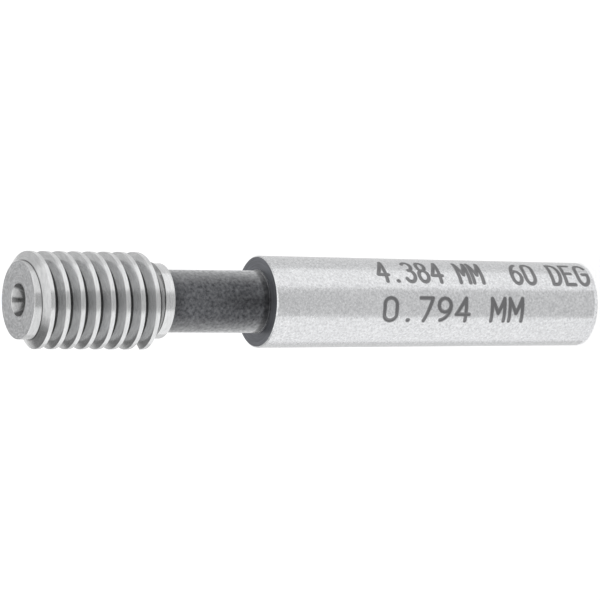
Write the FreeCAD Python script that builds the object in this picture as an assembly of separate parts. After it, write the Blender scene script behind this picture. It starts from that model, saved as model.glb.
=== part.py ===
import FreeCAD, Part
import math
import os

# A thread plug gauge member for a taper-lock handle, turned and ground from one piece of tool steel.
# Millimetres.  The axis is +Z.  The small end of the tapered shank lies in z = 0, the blackened neck
# is above the shank, and the gauging thread is at the top.  +X is where the thread angle is counted from.

# ---- gauging thread: 32 threads to the inch, 60 degree form, right-handed ----
THREAD_PITCH = 25.4 / 32
PITCH_DIAMETER = 4.384
FLANK_ANGLE = 30.0
CREST_FLAT = 0.214
ROOT_FLAT = 0.048
THREAD_LENGTH = 6.90
THREAD_START_ANGLE = 73.0
END_MARGIN = 0.01
FRONT_EDGE_BREAK = 0.015

# ---- undercut and plain land behind the thread ----
UNDERCUT_WIDTH = 0.07
UNDERCUT_DIAMETER = 3.50
BACK_LAND_LENGTH = 0.53
BACK_LAND_DIAMETER = 3.64
BACK_LAND_CHAMFER = 0.04

# ---- neck ----
NECK_LENGTH = 5.25
NECK_DIAMETER = 3.04
NECK_FILLET = 0.14

# ---- tapered shank, 1 in 48 on the diameter ----
SHANK_LENGTH = 18.00
SHANK_LARGE_DIAMETER = 4.49
SHANK_TAPER = 1 / 48
SHANK_LARGE_CHAMFER = 0.06
SHANK_SMALL_CHAMFER = 0.06

# ---- centre holes that the member was ground on, one in each end ----
CENTRE_MOUTH_DIAMETER = 1.59
CENTRE_ANGLE = 60.0
CENTRE_PILOT_DIAMETER = 0.60
CENTRE_PILOT_LENGTH = 0.70
DRILL_POINT_ANGLE = 118.0

# ---- worked out from the sizes above ----
TAN_FLANK = math.tan(math.radians(FLANK_ANGLE))
MAJOR_RADIUS = PITCH_DIAMETER / 2 + (THREAD_PITCH / 2 - CREST_FLAT) / (2 * TAN_FLANK)
MINOR_RADIUS = PITCH_DIAMETER / 2 - (THREAD_PITCH / 2 - ROOT_FLAT) / (2 * TAN_FLANK)
SHANK_LARGE_RADIUS = SHANK_LARGE_DIAMETER / 2
Z_COLLAR = SHANK_LENGTH
Z_LAND = Z_COLLAR + NECK_LENGTH
Z_UNDERCUT = Z_LAND + BACK_LAND_LENGTH
Z_THREAD = Z_UNDERCUT + UNDERCUT_WIDTH
Z_FRONT = Z_THREAD + THREAD_LENGTH


def shank_radius(z):
    """Radius of the tapered shank at height z: the large end less half the taper times the distance."""
    return SHANK_LARGE_RADIUS - SHANK_TAPER / 2 * (SHANK_LENGTH - z)


def line(start, end):
    """Straight edge between two (radius, height) points of the turning profile."""
    return Part.LineSegment(FreeCAD.Vector(start[0], 0, start[1]), FreeCAD.Vector(end[0], 0, end[1])).toShape()


def centre_hole(z_end, inward):
    """Profile points of a centre hole from the axis out to its mouth at z_end; inward is +1 or -1."""
    mouth = CENTRE_MOUTH_DIAMETER / 2
    pilot = CENTRE_PILOT_DIAMETER / 2
    cone_depth = (mouth - pilot) / math.tan(math.radians(CENTRE_ANGLE / 2))
    pilot_depth = cone_depth + CENTRE_PILOT_LENGTH
    point_depth = pilot_depth + pilot / math.tan(math.radians(DRILL_POINT_ANGLE / 2))
    return [
        (0, z_end + inward * point_depth),
        (pilot, z_end + inward * pilot_depth),
        (pilot, z_end + inward * cone_depth),
        (mouth, z_end),
    ]


def turned_body():
    """Everything but the thread ridge: one closed profile turned about the axis."""
    neck = NECK_DIAMETER / 2
    land = BACK_LAND_DIAMETER / 2
    undercut = UNDERCUT_DIAMETER / 2
    below_fillet = centre_hole(0, 1) + [
        (shank_radius(0) - SHANK_SMALL_CHAMFER, 0),
        (shank_radius(SHANK_SMALL_CHAMFER), SHANK_SMALL_CHAMFER),
        (shank_radius(Z_COLLAR - SHANK_LARGE_CHAMFER), Z_COLLAR - SHANK_LARGE_CHAMFER),
        (SHANK_LARGE_RADIUS - SHANK_LARGE_CHAMFER, Z_COLLAR),
        (neck + NECK_FILLET, Z_COLLAR),
    ]
    above_fillet = [
        (neck, Z_COLLAR + NECK_FILLET),
        (neck, Z_LAND),
        (land - BACK_LAND_CHAMFER, Z_LAND),
        (land, Z_LAND + BACK_LAND_CHAMFER),
        (land, Z_UNDERCUT),
        (undercut, Z_UNDERCUT),
        (undercut, Z_THREAD),
        (MINOR_RADIUS, Z_THREAD),
        (MINOR_RADIUS, Z_FRONT - FRONT_EDGE_BREAK),
        (MINOR_RADIUS - FRONT_EDGE_BREAK, Z_FRONT),
    ] + centre_hole(Z_FRONT, -1)[::-1]

    fillet_middle = FreeCAD.Vector(
        neck + NECK_FILLET * (1 - math.cos(math.radians(45))),
        0,
        Z_COLLAR + NECK_FILLET * (1 - math.sin(math.radians(45))),
    )
    fillet = Part.Arc(
        FreeCAD.Vector(neck + NECK_FILLET, 0, Z_COLLAR),
        fillet_middle,
        FreeCAD.Vector(neck, 0, Z_COLLAR + NECK_FILLET),
    ).toShape()

    edges = [line(a, b) for a, b in zip(below_fillet, below_fillet[1:])]
    edges.append(fillet)
    edges += [line(a, b) for a, b in zip(above_fillet, above_fillet[1:])]
    edges.append(line(above_fillet[-1], below_fillet[0]))
    profile = Part.Face(Part.Wire(edges))
    return profile.revolve(FreeCAD.Vector(0, 0, 0), FreeCAD.Vector(0, 0, 1), 360)


def ridge_width(radius):
    """Axial width of the thread ridge at a radius: half the pitch at the pitch line, less the flanks."""
    return THREAD_PITCH / 2 - (2 * radius - PITCH_DIAMETER) * TAN_FLANK


def thread_ridge():
    """The 60 degree ridge, swept along a helix and cut square where a full ridge no longer fits.

    Its foot is sunk half way to where neighbouring turns would meet, so that it joins the body.
    """
    foot_radius = MINOR_RADIUS - ROOT_FLAT / (4 * TAN_FLANK)
    foot = ridge_width(foot_radius) / 2
    crest = ridge_width(MAJOR_RADIUS) / 2
    z_low = Z_THREAD + END_MARGIN + foot
    z_high = Z_FRONT - END_MARGIN - foot
    turns = (z_high - z_low) / THREAD_PITCH
    corners = [
        FreeCAD.Vector(foot_radius, 0, -foot),
        FreeCAD.Vector(MAJOR_RADIUS, 0, -crest),
        FreeCAD.Vector(MAJOR_RADIUS, 0, crest),
        FreeCAD.Vector(foot_radius, 0, foot),
    ]
    section = Part.makePolygon(corners + corners[:1])
    helix = Part.makeHelix(THREAD_PITCH, z_high - z_low, MAJOR_RADIUS)
    ridge = Part.Wire(helix.Edges).makePipeShell([section], True, True)
    ridge.rotate(FreeCAD.Vector(0, 0, 0), FreeCAD.Vector(0, 0, 1), THREAD_START_ANGLE - 360 * turns)
    ridge.translate(FreeCAD.Vector(0, 0, z_low))
    return ridge


os.makedirs("parts", exist_ok=True)
gauge_member = turned_body().fuse(thread_ridge()).Solids[0]
gauge_member.exportStep("parts/gauge_member.step")
print("valid", gauge_member.isValid(), "solids", len(gauge_member.Solids), "volume", round(gauge_member.Volume, 3))
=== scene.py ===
"""A not-go thread plug gauge member for a taper-lock handle, dressed around its CAD frame.

The member is one piece of hardened tool steel, standing on the small end of its shank.  It is shown
here as three closed lengths that meet face to face: the tapered shank, the blackened neck and the
gauging thread with the land behind it.
"""
import math

import bmesh
import bpy
import numpy as np
from mathutils import Matrix, Vector


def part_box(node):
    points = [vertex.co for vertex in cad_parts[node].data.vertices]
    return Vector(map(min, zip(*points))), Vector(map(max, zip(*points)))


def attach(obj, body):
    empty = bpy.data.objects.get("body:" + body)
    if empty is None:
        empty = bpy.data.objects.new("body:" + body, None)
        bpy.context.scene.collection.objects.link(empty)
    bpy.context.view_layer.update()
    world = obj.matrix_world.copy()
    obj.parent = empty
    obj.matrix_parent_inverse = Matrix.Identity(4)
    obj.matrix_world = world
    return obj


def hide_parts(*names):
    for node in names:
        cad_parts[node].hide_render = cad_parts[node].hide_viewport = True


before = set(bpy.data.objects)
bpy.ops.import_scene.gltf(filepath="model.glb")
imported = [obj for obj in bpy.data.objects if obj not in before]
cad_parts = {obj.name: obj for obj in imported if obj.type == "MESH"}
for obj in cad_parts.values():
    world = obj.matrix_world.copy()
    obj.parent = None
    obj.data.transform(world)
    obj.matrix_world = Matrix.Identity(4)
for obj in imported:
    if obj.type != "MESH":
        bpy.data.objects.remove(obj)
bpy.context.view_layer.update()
MM = 0.001
_, gauge_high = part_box("gauge_member")
MEMBER_HEIGHT = gauge_high[2] / MM


# ---------------------------------------------------------------------------------------------
# Tapered shank.  It is ground between centres to 1 in 48 on the diameter, so that it sticks fast in
# the handle's tapered bore.  Fine satin grinding, a bright broken edge at the collar, and figures
# engraved in two lines with a round-nosed cutter.
# ---------------------------------------------------------------------------------------------
SHANK_LENGTH = 18.0
SHANK_LARGE_RADIUS = 2.245
SHANK_TAPER = 1 / 96
SHANK_CHAMFER = 0.06
EDGE_RADIUS = 0.012
CENTRE_MOUTH_RADIUS = 0.795
CENTRE_HALF_ANGLE = math.radians(30)
PILOT_RADIUS = 0.30
PILOT_LENGTH = 0.70
DRILL_HALF_ANGLE = math.radians(59)
PILOT_EDGE = 0.02
MOUTH_EDGE = 0.01
MARK_STROKE = 0.15
MARK_DEPTH = 0.035
MARK_REACH = 0.2
MARKED_TOP = 12.4
MARKED_AZIMUTHS = (math.radians(-130), math.radians(-14))
MARKED_COLUMNS = 150
MARKED_ROWS = 356
PLAIN_COLUMNS = 72
PLAIN_ROWS = 12
UPPER_LINE = {"text": "4.384 MM  60 DEG", "start": 12.2, "end": 0.35, "height": 1.34, "azimuth": -43.5}
LOWER_LINE = {"text": "0.794 MM", "start": 12.1, "end": 4.3, "height": 1.12, "azimuth": -98.5}


def shank_radius(z):
    """Radius at height z in millimetres: the large end less the taper times the distance from it."""
    return SHANK_LARGE_RADIUS - SHANK_TAPER * (SHANK_LENGTH - z)


def rounded(points, radii, segments=3):
    """A polyline with its corners rounded: each corner becomes a circular arc of its own radius.

    The arc touches both sides at radius * tan(half the turn) from the corner.  One more point is set
    a short way before and after each arc, so that smooth shading stays flat on the flats.
    """
    points = np.asarray(points, float)
    path = [points[0]]
    for before, corner, after, radius in zip(points, points[1:], points[2:], radii[1:]):
        a = (before - corner) / np.linalg.norm(before - corner)
        b = (after - corner) / np.linalg.norm(after - corner)
        half_turn = (math.pi - math.acos(np.clip(a @ b, -1, 1))) / 2
        if radius <= 0 or half_turn < 1e-3:
            path.append(corner)
            continue
        reach = radius * math.tan(half_turn)
        centre = corner + (a + b) / np.linalg.norm(a + b) * radius / math.cos(half_turn)
        spoke = corner + a * reach - centre
        sweep = -2 * half_turn * np.sign(a[0] * b[1] - a[1] * b[0])
        turn = np.linspace(0, sweep, segments + 1)
        arc = np.stack([
            spoke[0] * np.cos(turn) - spoke[1] * np.sin(turn),
            spoke[0] * np.sin(turn) + spoke[1] * np.cos(turn),
        ], axis=1) + centre
        path += [corner + a * reach * 1.6, *arc, corner + b * reach * 1.6]
    path.append(points[-1])
    return np.array(path)


def centre_hole(z_end, inward):
    """Outline points of a 60 degree centre hole from the axis out to its mouth; inward is +1 or -1."""
    cone_depth = (CENTRE_MOUTH_RADIUS - PILOT_RADIUS) / math.tan(CENTRE_HALF_ANGLE)
    pilot_depth = cone_depth + PILOT_LENGTH
    point_depth = pilot_depth + PILOT_RADIUS / math.tan(DRILL_HALF_ANGLE)
    return [
        (0, z_end + inward * point_depth),
        (PILOT_RADIUS, z_end + inward * pilot_depth),
        (PILOT_RADIUS, z_end + inward * cone_depth),
        (CENTRE_MOUTH_RADIUS, z_end),
    ]


def turned_grid(outline, azimuths):
    """Points of a turned surface: each (radius, height) of the outline carried round by each azimuth."""
    radius, height = np.asarray(outline, float).T
    x = radius[None, :] * np.cos(azimuths)[:, None]
    y = radius[None, :] * np.sin(azimuths)[:, None]
    z = np.broadcast_to(height, x.shape)
    return np.stack([x, y, z], axis=2)


def closed_piece(name, grid, **point_values):
    """A closed mesh from a grid of points in millimetres, its columns going once round the axis.

    Neighbouring points are joined by four-sided faces.  Points that coincide, at the poles and where
    the last column meets the first, are merged, which leaves no seam.  Named values, one per point,
    are kept as attributes of the mesh.
    """
    columns, rows = grid.shape[:2]
    index = np.arange(columns * rows).reshape(columns, rows)
    faces = np.stack([index[:-1, :-1], index[1:, :-1], index[1:, 1:], index[:-1, 1:]], axis=2)
    mesh = bpy.data.meshes.new(name)
    mesh.from_pydata((grid.reshape(-1, 3) * MM).tolist(), [], faces.reshape(-1, 4).tolist())
    for key, values in point_values.items():
        layer = mesh.attributes.new(key, "FLOAT", "POINT")
        layer.data.foreach_set("value", values.reshape(-1).astype(np.float32))
    work = bmesh.new()
    work.from_mesh(mesh)
    bmesh.ops.remove_doubles(work, verts=work.verts, dist=1e-7)
    bmesh.ops.dissolve_degenerate(work, edges=work.edges, dist=1e-8)
    bmesh.ops.recalc_face_normals(work, faces=work.faces)
    work.to_mesh(mesh)
    work.free()
    mesh.polygons.foreach_set("use_smooth", [True] * len(mesh.polygons))
    piece = bpy.data.objects.new(name, mesh)
    bpy.context.collection.objects.link(piece)
    return piece


def arc(cx, cy, rx, ry, start, end):
    """Centre-line of an elliptical stroke, from one angle to another in degrees."""
    turn = np.radians(np.linspace(start, end, 13))
    return np.stack([cx + rx * np.cos(turn), cy + ry * np.sin(turn)], axis=1)


# Single-stroke figures in a box GLYPH_WIDTH wide and 1 high, as a pantograph engraver cuts them.  A
# letter fills LETTER_SHARE of the length that it has along its line.
GLYPH_WIDTH = 0.6
LETTER_SHARE = 0.75
GLYPHS = {
    "0": [arc(0.3, 0.72, 0.27, 0.28, 0, 180), [(0.03, 0.72), (0.03, 0.28)],
          arc(0.3, 0.28, 0.27, 0.28, 180, 360), [(0.57, 0.28), (0.57, 0.72)]],
    "3": [arc(0.29, 0.76, 0.24, 0.24, 150, -90), arc(0.29, 0.27, 0.28, 0.27, 90, -150)],
    "4": [[(0.45, 0), (0.45, 1), (0.02, 0.3), (0.6, 0.3)]],
    "6": [arc(0.3, 0.3, 0.27, 0.3, 0, 360), arc(0.62, 0.3, 0.59, 0.7, 180, 105)],
    "7": [[(0.03, 1), (0.57, 1), (0.2, 0)]],
    "8": [arc(0.3, 0.76, 0.22, 0.24, 0, 360), arc(0.3, 0.27, 0.27, 0.27, 0, 360)],
    "9": [arc(0.3, 0.7, 0.27, 0.3, 0, 360), arc(-0.02, 0.7, 0.59, 0.7, 0, -75)],
    ".": [[(0.28, 0.02), (0.32, 0.02)]],
    "M": [[(0.02, 0), (0.02, 1), (0.3, 0.35), (0.58, 1), (0.58, 0)]],
    "D": [[(0.25, 1), (0.04, 1), (0.04, 0), (0.25, 0)], arc(0.25, 0.5, 0.31, 0.5, -90, 90)],
    "E": [[(0.55, 1), (0.04, 1), (0.04, 0), (0.55, 0)], [(0.04, 0.52), (0.45, 0.52)]],
    "G": [arc(0.33, 0.66, 0.3, 0.34, 25, 180), [(0.03, 0.66), (0.03, 0.34)],
          arc(0.33, 0.34, 0.3, 0.34, 180, 360), [(0.63, 0.34), (0.63, 0.48), (0.36, 0.48)]],
}


def mark_distance(line, z, along):
    """Distance in millimetres from each surface point to the nearest stroke of one engraved line.

    The text runs down the shank, from its start height to its end height, and the letters stand
    across it.  The distance to a stroke is the distance to its nearest straight piece.  Points more
    than MARK_REACH above or below a piece aren't measured from it.
    """
    text = line["text"]
    advance = (line["start"] - line["end"]) / (len(text) - 1 + LETTER_SHARE)
    width = LETTER_SHARE * advance / GLYPH_WIDTH
    nearest = np.full(z.shape, np.inf)
    across = along - np.radians(line["azimuth"]) * shank_radius(z)
    for place, letter in enumerate(text):
        for stroke in GLYPHS.get(letter, []):
            stroke = np.asarray(stroke, float)
            px = place * advance + stroke[:, 0] * width
            py = (stroke[:, 1] - 0.5) * line["height"]
            u = line["start"] - z
            for x0, y0, x1, y1 in zip(px, py, px[1:], py[1:]):
                near = (u > min(x0, x1) - MARK_REACH) & (u < max(x0, x1) + MARK_REACH)
                length = max((x1 - x0) ** 2 + (y1 - y0) ** 2, 1e-12)
                t = np.clip(((u[near] - x0) * (x1 - x0) + (across[near] - y0) * (y1 - y0)) / length, 0, 1)
                gap = np.hypot(u[near] - x0 - t * (x1 - x0), across[near] - y0 - t * (y1 - y0))
                nearest[near] = np.minimum(nearest[near], gap)
    return nearest


def marked_shank():
    """The shank's turned surface, sunk along the engraved strokes.

    The cut is a round-bottomed groove: its depth falls from MARK_DEPTH on the stroke's centre-line
    to nothing at MARK_STROKE from it, as half a cosine wave.  Columns and rows are close together
    only where the figures are.
    """
    fine_low, fine_high = MARKED_AZIMUTHS
    azimuths = np.concatenate([
        np.linspace(fine_low, fine_high, MARKED_COLUMNS),
        np.linspace(fine_high, fine_low + 2 * math.pi, PLAIN_COLUMNS)[1:],
    ])
    sides = rounded(
        [
            (shank_radius(0) - SHANK_CHAMFER, 0),
            (shank_radius(SHANK_CHAMFER), SHANK_CHAMFER),
            (shank_radius(SHANK_LENGTH - SHANK_CHAMFER), SHANK_LENGTH - SHANK_CHAMFER),
            (SHANK_LARGE_RADIUS - SHANK_CHAMFER, SHANK_LENGTH),
            (0, SHANK_LENGTH),
        ],
        [0, EDGE_RADIUS, EDGE_RADIUS, EDGE_RADIUS, 0],
    )
    top = np.argmax(sides[:, 1] > SHANK_LENGTH / 2)
    heights = np.concatenate([
        np.linspace(sides[top - 1, 1], MARKED_TOP, MARKED_ROWS)[1:],
        np.linspace(MARKED_TOP, sides[top, 1], PLAIN_ROWS)[1:-1],
    ])
    body = np.stack([shank_radius(heights), heights], axis=1)
    end_face = centre_hole(0, 1) + [(shank_radius(0) - SHANK_CHAMFER, 0)]
    hole = rounded(end_face, [0, 0, PILOT_EDGE, MOUTH_EDGE, 0])
    outline = np.concatenate([hole[:-1], sides[:top], body, sides[top:]])
    grid = turned_grid(outline, azimuths)
    z = grid[:, :, 2]
    along = azimuths[:, None] * np.broadcast_to(shank_radius(z), z.shape)
    distance = np.minimum(mark_distance(UPPER_LINE, z, along), mark_distance(LOWER_LINE, z, along))
    inside = np.clip(distance / MARK_STROKE, 0, 1)
    on_side = np.zeros(outline.shape[0])
    on_side[len(hole) - 1 + top:-(len(sides) - top)] = 1
    cut = 0.5 * (1 + np.cos(np.pi * inside)) * on_side[None, :]
    shrink = 1 - MARK_DEPTH * cut / np.maximum(np.hypot(grid[:, :, 0], grid[:, :, 1]), PILOT_RADIUS)
    grid = np.stack([grid[:, :, 0] * shrink, grid[:, :, 1] * shrink, z], axis=2)
    return closed_piece("taper_shank", grid, engraved=cut)


def new_material(name):
    """An empty node material with its Principled shader, which is returned with the node tree."""
    material = bpy.data.materials.new(name)
    material.use_nodes = True
    tree = material.node_tree
    return material, tree, tree.nodes["Principled BSDF"]


def wire(tree, source, socket, target, name):
    """Joins one node's output to another node's input."""
    tree.links.new(source.outputs[socket], target.inputs[name])


def turned_grain_group():
    """Shader group for the fine marks that turning, grinding and blasting leave on a round part.

    Noise is read at x and y times Coarse and at height times Height plus distance from the axis times
    Radius, so that a large Height draws lines round a side and a large Radius draws rings on a face.
    """
    group = bpy.data.node_groups.new("turned_grain", "ShaderNodeTree")
    for name, value in (("Coarse", 300.0), ("Height", 300.0), ("Radius", 0.0), ("Detail", 3.0)):
        socket = group.interface.new_socket(name, in_out="INPUT", socket_type="NodeSocketFloat")
        socket.default_value = value
    group.interface.new_socket("Grain", in_out="OUTPUT", socket_type="NodeSocketFloat")
    inputs = group.nodes.new("NodeGroupInput")
    outputs = group.nodes.new("NodeGroupOutput")
    place = group.nodes.new("ShaderNodeTexCoord")
    split = group.nodes.new("ShaderNodeSeparateXYZ")
    wire(group, place, "Object", split, 0)

    def times(source, socket, factor):
        node = group.nodes.new("ShaderNodeMath")
        node.operation = "MULTIPLY"
        wire(group, source, socket, node, 0)
        wire(group, inputs, factor, node, 1)
        return node

    squares = [group.nodes.new("ShaderNodeMath") for _ in "xy"]
    for node, axis in zip(squares, "XY"):
        node.operation = "MULTIPLY"
        wire(group, split, axis, node, 0)
        wire(group, split, axis, node, 1)
    together = group.nodes.new("ShaderNodeMath")
    wire(group, squares[0], 0, together, 0)
    wire(group, squares[1], 0, together, 1)
    radius = group.nodes.new("ShaderNodeMath")
    radius.operation = "SQRT"
    wire(group, together, 0, radius, 0)
    lines = group.nodes.new("ShaderNodeMath")
    wire(group, times(split, "Z", "Height"), 0, lines, 0)
    wire(group, times(radius, 0, "Radius"), 0, lines, 1)
    point = group.nodes.new("ShaderNodeCombineXYZ")
    wire(group, times(split, "X", "Coarse"), 0, point, 0)
    wire(group, times(split, "Y", "Coarse"), 0, point, 1)
    wire(group, lines, 0, point, 2)
    noise = group.nodes.new("ShaderNodeTexNoise")
    noise.inputs["Scale"].default_value = 1.0
    noise.inputs["Roughness"].default_value = 0.6
    wire(group, inputs, "Detail", noise, "Detail")
    wire(group, point, 0, noise, "Vector")
    wire(group, noise, "Fac", outputs, "Grain")
    return group


TURNED_GRAIN = turned_grain_group()


def grain(tree, coarse, height, radius, detail=3.0):
    """One use of the turned grain, with its own spacing."""
    node = tree.nodes.new("ShaderNodeGroup")
    node.node_tree = TURNED_GRAIN
    for name, value in (("Coarse", coarse), ("Height", height), ("Radius", radius), ("Detail", detail)):
        node.inputs[name].default_value = value
    return node


def spread(tree, source, socket, low, high, middle=0.5, reach=0.25):
    """Turns a value near middle, give or take reach, into a range from low to high."""
    node = tree.nodes.new("ShaderNodeMapRange")
    node.inputs["From Min"].default_value = middle - reach
    node.inputs["From Max"].default_value = middle + reach
    node.inputs["To Min"].default_value = low
    node.inputs["To Max"].default_value = high
    wire(tree, source, socket, node, "Value")
    return node


def blend(tree, factor, socket, first, second):
    """A colour that goes from first to second as the factor goes from 0 to 1."""
    node = tree.nodes.new("ShaderNodeMix")
    node.data_type = "RGBA"
    wire(tree, factor, socket, node, "Factor")
    for slot, colour in ((6, first), (7, second)):
        if isinstance(colour, tuple):
            node.inputs[slot].default_value = (*colour, 1)
        else:
            tree.links.new(colour.outputs[2], node.inputs[slot])
    return node


def mottle(tree, source, first, second):
    """A colour that wanders between first and second with a grain."""
    return blend(tree, spread(tree, source, "Grain", 0, 1), 0, first, second)


def point_value(tree, name):
    """Reads one of the mesh's named values, one per point."""
    node = tree.nodes.new("ShaderNodeAttribute")
    node.attribute_name = name
    return node


def relief(tree, shader, source, socket, depth):
    """Bump from a value, depth metres high where the value is 1, into the shader's normal."""
    node = tree.nodes.new("ShaderNodeBump")
    node.inputs["Strength"].default_value = 1.0
    node.inputs["Distance"].default_value = depth
    wire(tree, source, socket, node, "Height")
    wire(tree, node, "Normal", shader, "Normal")


def finish_above(piece, height, material):
    """Gives the faces whose centres lie above a height in millimetres a second material."""
    piece.data.materials.append(material)
    centres = np.empty(len(piece.data.polygons) * 3)
    piece.data.polygons.foreach_get("center", centres)
    above = centres.reshape(-1, 3)[:, 2] > height * MM
    piece.data.polygons.foreach_set("material_index", above.astype(int))


shank = marked_shank()
steel, tree, shader = new_material("satin_ground_steel")
shader.inputs["Metallic"].default_value = 1.0
speckle = grain(tree, 9000, 9000, 0)
cloud = grain(tree, 1500, 1500, 0, 2.0)
tone = mottle(tree, speckle, (0.52, 0.526, 0.537), (0.86, 0.866, 0.877))
in_cut = spread(tree, point_value(tree, "engraved"), "Fac", 0, 1, middle=0.25, reach=0.2)
cut_tone = blend(tree, in_cut, 0, tone, (0.20, 0.20, 0.205))
wire(tree, cut_tone, 2, shader, "Base Color")
wire(tree, spread(tree, cloud, "Grain", 0.17, 0.28), 0, shader, "Roughness")
relief(tree, shader, speckle, "Grain", 0.0022 * MM)
shank.data.materials.append(steel)
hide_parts("gauge_member")
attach(shank, "root")


# ---------------------------------------------------------------------------------------------
# Neck.  It is turned down between the shank and the gauging thread, and keeps the black oxide of
# heat treatment, which also covers the collar face where the shank steps out.
# ---------------------------------------------------------------------------------------------
NECK_LENGTH = 5.25
NECK_RADIUS = 1.52
NECK_FILLET = 0.05
LAND_LOW = SHANK_LENGTH + NECK_LENGTH
NECK_COLUMNS = 160
CORNER_HEIGHT = 0.40
# Painted shade at the collar, as stops of (share of CORNER_HEIGHT, colour multiplier).
PAINTED_CORNER_SHADE = ((0.12, 1.0), (0.2, 0.35), (0.75, 0.5))
COLLAR_SLACK = 0.0001


def plain_azimuths(count):
    """Evenly spaced azimuths, once round, with the first repeated at the end."""
    return np.linspace(0, 2 * math.pi, count + 1)


neck_outline = [
    (0, SHANK_LENGTH),
    (NECK_RADIUS + NECK_FILLET, SHANK_LENGTH),
    (NECK_RADIUS, SHANK_LENGTH + NECK_FILLET),
    (NECK_RADIUS, LAND_LOW),
    (0, LAND_LOW),
]
neck = closed_piece("neck", turned_grid(neck_outline, plain_azimuths(NECK_COLUMNS)))
oxide, tree, shader = new_material("black_oxide")
shader.inputs["Metallic"].default_value = 0.92
speckle = grain(tree, 6500, 6500, 0, 2.0)
cloud = grain(tree, 2500, 2500, 0)
# The oxide is dark where it faces the viewer; toward the neck's edges its colour is painted pale, a
# painted sheen that stands in for the reflection there.
facing = tree.nodes.new("ShaderNodeLayerWeight")
facing.inputs["Blend"].default_value = 0.5
painted_edge_sheen = spread(tree, facing, "Facing", 0, 1, middle=0.41, reach=0.30)
dark_specks_and_sheen = blend(tree, painted_edge_sheen, 0, (0.045, 0.046, 0.051), (0.50, 0.506, 0.52))
light_specks_and_sheen = blend(tree, painted_edge_sheen, 0, (0.190, 0.194, 0.204), (0.98, 0.985, 0.99))
tone = mottle(tree, speckle, dark_specks_and_sheen, light_specks_and_sheen)
# Painted shade: at the collar the colour is darkened over CORNER_HEIGHT, where the dark collar face is
# reflected in the neck; the fillet is left out of it, so a thin light line stays there.
place = tree.nodes.new("ShaderNodeTexCoord")
split = tree.nodes.new("ShaderNodeSeparateXYZ")
wire(tree, place, "Object", split, 0)
half_corner = CORNER_HEIGHT / 2
up_corner = spread(tree, split, "Z", 0, 1, (SHANK_LENGTH + half_corner) * MM, half_corner * MM)
corner = tree.nodes.new("ShaderNodeValToRGB")
wire(tree, up_corner, 0, corner, 0)
corner.color_ramp.elements[0].color = (1, 1, 1, 1)
for position, value in PAINTED_CORNER_SHADE:
    corner.color_ramp.elements.new(position).color = (value, value, value, 1)
shaded = tree.nodes.new("ShaderNodeMix")
shaded.data_type = "RGBA"
shaded.blend_type = "MULTIPLY"
shaded.inputs["Factor"].default_value = 1.0
wire(tree, tone, 2, shaded, 6)
wire(tree, corner, "Color", shaded, 7)
wire(tree, shaded, 2, shader, "Base Color")
wire(tree, spread(tree, cloud, "Grain", 0.32, 0.44), 0, shader, "Roughness")
relief(tree, shader, speckle, "Grain", 0.005 * MM)
neck.data.materials.append(oxide)
collar_oxide, tree, shader = new_material("collar_black_oxide")
shader.inputs["Metallic"].default_value = 0.75
rings = grain(tree, 900, 0, 22000, 2.0)
tone = mottle(tree, rings, (0.090, 0.094, 0.106), (0.200, 0.207, 0.228))
wire(tree, tone, 2, shader, "Base Color")
shader.inputs["Roughness"].default_value = 0.36
relief(tree, shader, rings, "Grain", 0.002 * MM)
finish_above(shank, SHANK_LENGTH - COLLAR_SLACK, collar_oxide)
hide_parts("gauge_member")
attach(neck, "root")


# ---------------------------------------------------------------------------------------------
# Gauging thread.  A right-hand 60 degree thread, ground from the solid, with the incomplete turns at
# both ends cut away square.  Behind it are a narrow undercut and a plain ground land.  The front
# face is turned and has the centre hole that the member was ground on.
# ---------------------------------------------------------------------------------------------
THREAD_PITCH = 25.4 / 32
PITCH_RADIUS = 2.192
CREST_FLAT = 0.214
ROOT_FLAT = 0.048
TAN_FLANK = math.tan(math.radians(30))
MAJOR_RADIUS = PITCH_RADIUS + (THREAD_PITCH / 2 - CREST_FLAT) / (2 * TAN_FLANK)
MINOR_RADIUS = PITCH_RADIUS - (THREAD_PITCH / 2 - ROOT_FLAT) / (2 * TAN_FLANK)
CREST_EDGE = 0.014
LAND_LENGTH = 0.53
LAND_RADIUS = 1.82
LAND_CHAMFER = 0.04
LAND_EDGE = 0.012
UNDERCUT_WIDTH = 0.07
UNDERCUT_RADIUS = 1.75
FRONT_BREAK = 0.015
FRONT_MOUTH_EDGE = 0.02
FINE_EDGE = 0.008
MOUTH_MARGIN = 0.09
THREAD_START_AZIMUTH = math.radians(73)
THREAD_LOW = LAND_LOW + LAND_LENGTH + UNDERCUT_WIDTH
FRONT = MEMBER_HEIGHT
RIDGE_FOOT = (THREAD_PITCH - ROOT_FLAT) / 2
RIDGE_MARGIN = 0.022
THREAD_COLUMNS = 240
END_STEP = math.radians(0.25)
TURN_SLACK = 1e-4
FACE_SLACK = 0.002

# How deep the painted shade is, from 0 on bright steel to 1.
FLANK_PAINTED_SHADE = 0.30
REAR_CORE_PAINTED_SHADE = 0.6
FRONT_CORE_PAINTED_SHADE = 0.15
DEEP_PAINTED_SHADE = 0.9
PAINTED_SHADE_COLOUR = (0.05, 0.05, 0.05)
# Where it begins and over how much it grows: by the share of the thread's depth, by the size of the
# azimuth's cosine toward the sides, by its sine toward -Y, and by the radius up the front cone.
FLANK_SHADE_FROM = (0, 0.03)
ROOT_SHADE_FROM = (0.885, 0.09)
SIDE_SHADE_FROM = (0.70, 0.15)
NEAR_SHADE_FROM = (0.1, 0.3)
CONE_SHADE_FROM = (0.5, 0.25)
MOUTH_SHADE_REACH = 0.05
SHADE_PAINT_ROW = 0.12


def ramp(value, start, reach):
    """0 up to start, 1 from start + reach on, and a straight line between them."""
    return np.clip((value - start) / reach, 0, 1)


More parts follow.
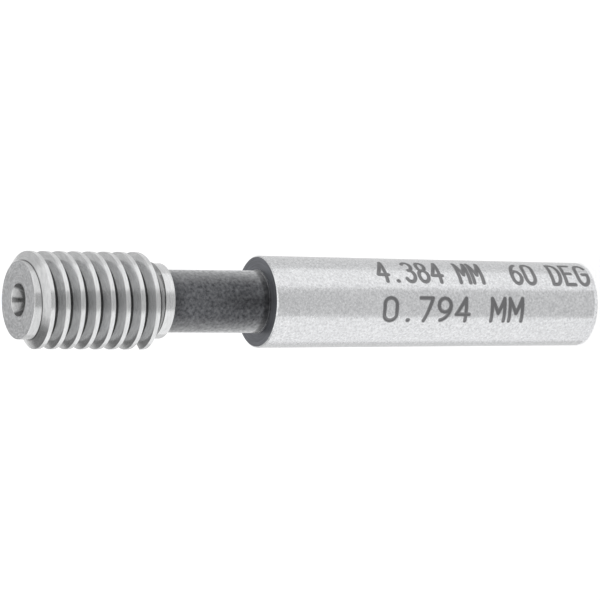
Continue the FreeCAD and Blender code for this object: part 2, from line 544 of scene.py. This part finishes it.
def ridge_form():
    """One pitch of the thread as offsets along the axis and radii, with the ridge in the middle.

    A row of points on each flank, SHADE_PAINT_ROW of the depth above the root, keeps the root's painted
    shade off the rest of the flank.
    """
    crest, foot = CREST_FLAT / 2, RIDGE_FOOT
    row_offset = foot - SHADE_PAINT_ROW * (foot - crest)
    row_radius = MINOR_RADIUS + SHADE_PAINT_ROW * (MAJOR_RADIUS - MINOR_RADIUS)
    points = [
        (-THREAD_PITCH / 2, MINOR_RADIUS),
        (-foot, MINOR_RADIUS),
        (-row_offset, row_radius),
        (-crest, MAJOR_RADIUS),
        (crest, MAJOR_RADIUS),
        (row_offset, row_radius),
        (foot, MINOR_RADIUS),
        (THREAD_PITCH / 2, MINOR_RADIUS),
    ]
    return rounded(points, [0, FINE_EDGE, 0, CREST_EDGE, CREST_EDGE, 0, FINE_EDGE, 0])[:-1]


def threaded_rows(azimuths, top_centre, turns):
    """Points of the threaded length, and the painted shade at each.

    In each column the rows follow the ridge's centre-line, which climbs one pitch a turn:
    height = front centre + pitch * (azimuth - start azimuth) / 360 degrees + whole turns + offset.
    Rows past either end of the thread are held at that end, and where the ridge has stopped the
    stained_tone_placeholder
    """
    form = ridge_form()
    whole = np.arange(-math.ceil(turns) - 3, 4)
    offset = np.tile(form[:, 0], len(whole))
    radius = np.tile(form[:, 1], len(whole))
    turn = np.repeat(whole, len(form)) + (azimuths[:, None] - THREAD_START_AZIMUTH) / (2 * math.pi)
    height = np.clip(top_centre + THREAD_PITCH * turn + offset, THREAD_LOW, FRONT - 2 * FRONT_BREAK)
    ridge = (turn < TURN_SLACK) & (turn > -turns - TURN_SLACK)
    radius = np.where(ridge, radius, MINOR_RADIUS)
    x = radius * np.cos(azimuths)[:, None]
    y = radius * np.sin(azimuths)[:, None]
    depth = (MAJOR_RADIUS - radius) / (MAJOR_RADIUS - MINOR_RADIUS)
    on_flank = ramp(depth, *FLANK_SHADE_FROM) * FLANK_PAINTED_SHADE
    on_ridge = np.maximum(on_flank, ramp(depth, *ROOT_SHADE_FROM))
    on_core = np.where(height < (FRONT + THREAD_LOW) / 2, REAR_CORE_PAINTED_SHADE, FRONT_CORE_PAINTED_SHADE)
    return np.stack([x, y, height], axis=2), np.where(ridge, on_ridge, on_core)


def land_outline():
    """Radii and heights of the land and the undercut, from the neck's end to the thread."""
    points = [
        (0, LAND_LOW),
        (LAND_RADIUS - LAND_CHAMFER, LAND_LOW),
        (LAND_RADIUS, LAND_LOW + LAND_CHAMFER),
        (LAND_RADIUS, LAND_LOW + LAND_LENGTH),
        (UNDERCUT_RADIUS, LAND_LOW + LAND_LENGTH),
        (UNDERCUT_RADIUS, THREAD_LOW),
        (MINOR_RADIUS, THREAD_LOW),
    ]
    return rounded(points, [0, FINE_EDGE, FINE_EDGE, LAND_EDGE, 0, 0, 0])


def front_outline():
    """Radii and heights of the front end, from the thread over the face and into the centre hole."""
    points = [
        (MINOR_RADIUS, FRONT - 2 * FRONT_BREAK),
        (MINOR_RADIUS, FRONT - FRONT_BREAK),
        (MINOR_RADIUS - FRONT_BREAK, FRONT),
        (CENTRE_MOUTH_RADIUS + MOUTH_MARGIN, FRONT),
        *centre_hole(FRONT, -1)[::-1],
    ]
    return rounded(points, [0, FINE_EDGE, FINE_EDGE, 0, FRONT_MOUTH_EDGE, 0, 0, 0])


def front_painted_shade(outline, azimuths):
    """Painted shade of the front end: both sides of the hole's cone, the near part of its mouth, its
    pilot.
    """
    radius, height = outline.T
    at_sides = ramp(np.abs(np.cos(azimuths)), *SIDE_SHADE_FROM)[:, None]
    at_near = ramp(-np.sin(azimuths), *NEAR_SHADE_FROM)[:, None]
    in_cone = ramp(radius, *CONE_SHADE_FROM) * (radius < CENTRE_MOUTH_RADIUS) * (height < FRONT)
    at_mouth = np.abs(radius - CENTRE_MOUTH_RADIUS) < MOUTH_SHADE_REACH
    in_pilot = radius < PILOT_RADIUS + 1e-6
    return DEEP_PAINTED_SHADE * np.maximum(np.maximum(in_cone * at_sides, at_mouth * at_near), in_pilot)


def thread_grid():
    """Points of the land, undercut, thread and front end in one grid, and the painted shade at each.

    One column stands close on either side of each of the thread's two blunt ends.
    """
    top_centre = FRONT - RIDGE_MARGIN - RIDGE_FOOT
    low_centre = THREAD_LOW + RIDGE_MARGIN + RIDGE_FOOT
    turns = (top_centre - low_centre) / THREAD_PITCH
    ends = THREAD_START_AZIMUTH - 2 * math.pi * np.array([0, turns % 1])
    beside = np.concatenate([ends - END_STEP, ends + END_STEP]) % (2 * math.pi)
    azimuths = np.unique(np.concatenate([plain_azimuths(THREAD_COLUMNS), beside]))
    thread, stain = threaded_rows(azimuths, top_centre, turns)
    lower, upper = land_outline(), front_outline()
    grid = np.concatenate([turned_grid(lower, azimuths), thread, turned_grid(upper, azimuths)], axis=1)
    # The undercut groove is darkened throughout as painted shade.
    in_undercut = lower[:, 1] > LAND_LOW + LAND_LENGTH - 1e-6
    lower_shade_paint = np.tile(DEEP_PAINTED_SHADE * in_undercut, (len(azimuths), 1))
    return grid, np.concatenate([lower_shade_paint, stain, front_painted_shade(upper, azimuths)], axis=1)


grid, stain = thread_grid()
thread_end = closed_piece("gauging_thread", grid, root_stain=stain)
ground, tree, shader = new_material("ground_thread_steel")
shader.inputs["Metallic"].default_value = 0.85
lines = grain(tree, 1800, 15000, 0)
cloud = grain(tree, 2200, 2200, 0)
tone = mottle(tree, lines, (0.64, 0.645, 0.65), (0.86, 0.865, 0.87))
# Painted shade: the steel's colour is darkened toward PAINTED_SHADE_COLOUR by the mesh's root_stain
# values.
painted_shade_tone = blend(tree, point_value(tree, "root_stain"), "Fac", tone, PAINTED_SHADE_COLOUR)
wire(tree, painted_shade_tone, 2, shader, "Base Color")
wire(tree, spread(tree, cloud, "Grain", 0.14, 0.24), 0, shader, "Roughness")
relief(tree, shader, lines, "Grain", 0.0009 * MM)
thread_end.data.materials.append(ground)
turned_face, tree, shader = new_material("turned_front_face")
shader.inputs["Metallic"].default_value = 1.0
rings = grain(tree, 2500, 0, 16000)
speckle = grain(tree, 9000, 9000, 0)
light_rings = mottle(tree, rings, (0.46, 0.464, 0.472), (0.80, 0.805, 0.815))
dark_rings = mottle(tree, rings, (0.20, 0.202, 0.208), (0.46, 0.464, 0.472))
tone = mottle(tree, speckle, dark_rings, light_rings)
# Painted shade of the centre hole darkens the face's colour toward PAINTED_SHADE_COLOUR.
painted_shade_tone = blend(tree, point_value(tree, "root_stain"), "Fac", tone, PAINTED_SHADE_COLOUR)
wire(tree, painted_shade_tone, 2, shader, "Base Color")
shader.inputs["Roughness"].default_value = 0.32
relief(tree, shader, speckle, "Grain", 0.003 * MM)
finish_above(thread_end, FRONT - FACE_SLACK, turned_face)
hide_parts("gauge_member")
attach(thread_end, "root")


# ---------------------------------------------------------------------------------------------
# Stage: a plain pale table and sky, two soft boxes side by side overhead, grey cards that only
# reflections see, and the camera, which looks down at the member with the thread end to the left.
# ---------------------------------------------------------------------------------------------
CAMERA_DISTANCE = 0.2961
CAMERA_ELEVATION = math.radians(27.39)
CAMERA_ROLL = math.radians(-0.446)
CAMERA_TARGET = Vector((0.100 * MM, 0, 15.62 * MM))
CAMERA_LENS = 364.05
TABLE_RADIUS = 1.6
TABLE_GLOW = 0.50
SKY_LIGHT = 0.45
SKY_SEEN = 0.72
SOFT_BOX_SIZE = (0.30, 0.60)
SOFT_BOX_HEIGHT = 0.25
SOFT_BOX_LEVEL = 0.44

sight = Vector((0, math.cos(CAMERA_ELEVATION), -math.sin(CAMERA_ELEVATION)))
up = Vector((1, 0, 0))
right = sight.cross(up).normalized()
turn = Matrix.Rotation(CAMERA_ROLL, 3, sight)
right, up = turn @ right, turn @ up
camera_data = bpy.data.cameras.new("camera")
camera_data.lens = CAMERA_LENS
camera_data.clip_start = 0.01
camera = bpy.data.objects.new("camera", camera_data)
camera.matrix_world = Matrix.Translation(CAMERA_TARGET - sight * CAMERA_DISTANCE) @ Matrix(
    (right, up, -sight)).transposed().to_4x4()
bpy.context.collection.objects.link(camera)
bpy.context.scene.camera = camera

bpy.ops.mesh.primitive_circle_add(
    vertices=128, radius=TABLE_RADIUS, fill_type="NGON", location=(0, 0, 0))
floor = bpy.context.object
floor.name = "table"


def level_by_ray(tree, lighting, seen):
    """One level on rays that only light things, and another on those seen, mirrored or through glass."""
    path = tree.nodes.new("ShaderNodeLightPath")
    mirrored = tree.nodes.new("ShaderNodeMath")
    mirrored.operation = "MAXIMUM"
    wire(tree, path, "Is Camera Ray", mirrored, 0)
    wire(tree, path, "Is Glossy Ray", mirrored, 1)
    through = tree.nodes.new("ShaderNodeMath")
    through.operation = "MAXIMUM"
    wire(tree, mirrored, 0, through, 0)
    wire(tree, path, "Is Transmission Ray", through, 1)
    return spread(tree, through, 0, lighting, seen, middle=0.5, reach=0.5)


paper, tree, shader = new_material("white_table")
shader.inputs["Base Color"].default_value = (0.85, 0.85, 0.85, 1)
shader.inputs["Roughness"].default_value = 0.8
shader.inputs["Specular IOR Level"].default_value = 0.0
shader.inputs["Emission Color"].default_value = (1, 1, 1, 1)
wire(tree, level_by_ray(tree, 0.0, TABLE_GLOW), 0, shader, "Emission Strength")
floor.data.materials.append(paper)

world = bpy.data.worlds.new("studio")
bpy.context.scene.world = world
world.use_nodes = True
tree = world.node_tree
wire(tree, level_by_ray(tree, SKY_LIGHT, SKY_SEEN), 0, tree.nodes["Background"], "Strength")
tree.nodes["Background"].inputs["Color"].default_value = (1, 1, 1, 1)

for side in (-1, 1):
    light_data = bpy.data.lights.new("soft_box", "AREA")
    light_data.shape = "RECTANGLE"
    light_data.size, light_data.size_y = SOFT_BOX_SIZE
    light_data.energy = SOFT_BOX_LEVEL * math.pi * SOFT_BOX_SIZE[0] * SOFT_BOX_SIZE[1]
    soft_box = bpy.data.objects.new("soft_box", light_data)
    soft_box.location = (side * SOFT_BOX_SIZE[0] / 2, 0, FRONT * MM + SOFT_BOX_HEIGHT)
    soft_box.visible_camera = False
    bpy.context.collection.objects.link(soft_box)


def card(name, corners, level):
    """A grey card that only reflections see, as is set beside polished metal; corners in millimetres."""
    mesh = bpy.data.meshes.new(name)
    mesh.from_pydata([tuple(v * MM for v in corner) for corner in corners], [], [range(len(corners))])
    board = bpy.data.objects.new(name, mesh)
    bpy.context.collection.objects.link(board)
    material, tree, shader = new_material(name)
    shader.inputs["Base Color"].default_value = (0, 0, 0, 1)
    shader.inputs["Specular IOR Level"].default_value = 0.0
    shader.inputs["Emission Color"].default_value = (1, 1, 1, 1)
    shader.inputs["Emission Strength"].default_value = level
    mesh.materials.append(material)
    board.visible_camera = False
    board.visible_diffuse = False
    board.visible_shadow = False


# Flat cards just above the table, as (x, y); then upright ones, as (y, z) and (x, z).
FLAT_CARD_HEIGHT = 0.2
FLAT_CARDS = (
    ("near_card", 0.74, [(0.7, -1.95), (20.572484, -28), (23.5, -40),
                         (-23.5, -40), (-20.572484, -28), (-0.7, -1.95)]),
    ("far_card", 0.52, [(23.5, -40), (23.5, -120), (-23.5, -120), (-23.5, -40)]),
    ("low_card", 0.78, [(-1.82, -0.97), (-101, 66), (-101, 120), (-0.5, 120), (-0.5, 0)]),
    ("side_card", 0.80, [(1.5, -1.4), (120, 7), (120, 120), (0.5, 120), (0.5, 0)]),
)
SIDE_FLAG_X = 150
SIDE_FLAG = [(60, 115), (450, 115), (450, 400), (60, 400)]
SIDE_FLAG_LEVELS = ((-1, 0.20), (1, 0.80))
CAMERA_CARD_Y = -262
CAMERA_CARD = [(-105, 95), (105, 95), (105, 215), (-105, 215)]
CAMERA_CARD_LEVEL = 0.02

for name, level, outline in FLAT_CARDS:
    card(name, [(x, y, FLAT_CARD_HEIGHT) for x, y in outline], level)
for side, level in SIDE_FLAG_LEVELS:
    card("side_flag", [(side * SIDE_FLAG_X, y, z) for y, z in SIDE_FLAG], level)
card("camera_card", [(x, CAMERA_CARD_Y, z) for x, z in CAMERA_CARD], CAMERA_CARD_LEVEL)

bpy.context.scene.view_settings.view_transform = "Standard"
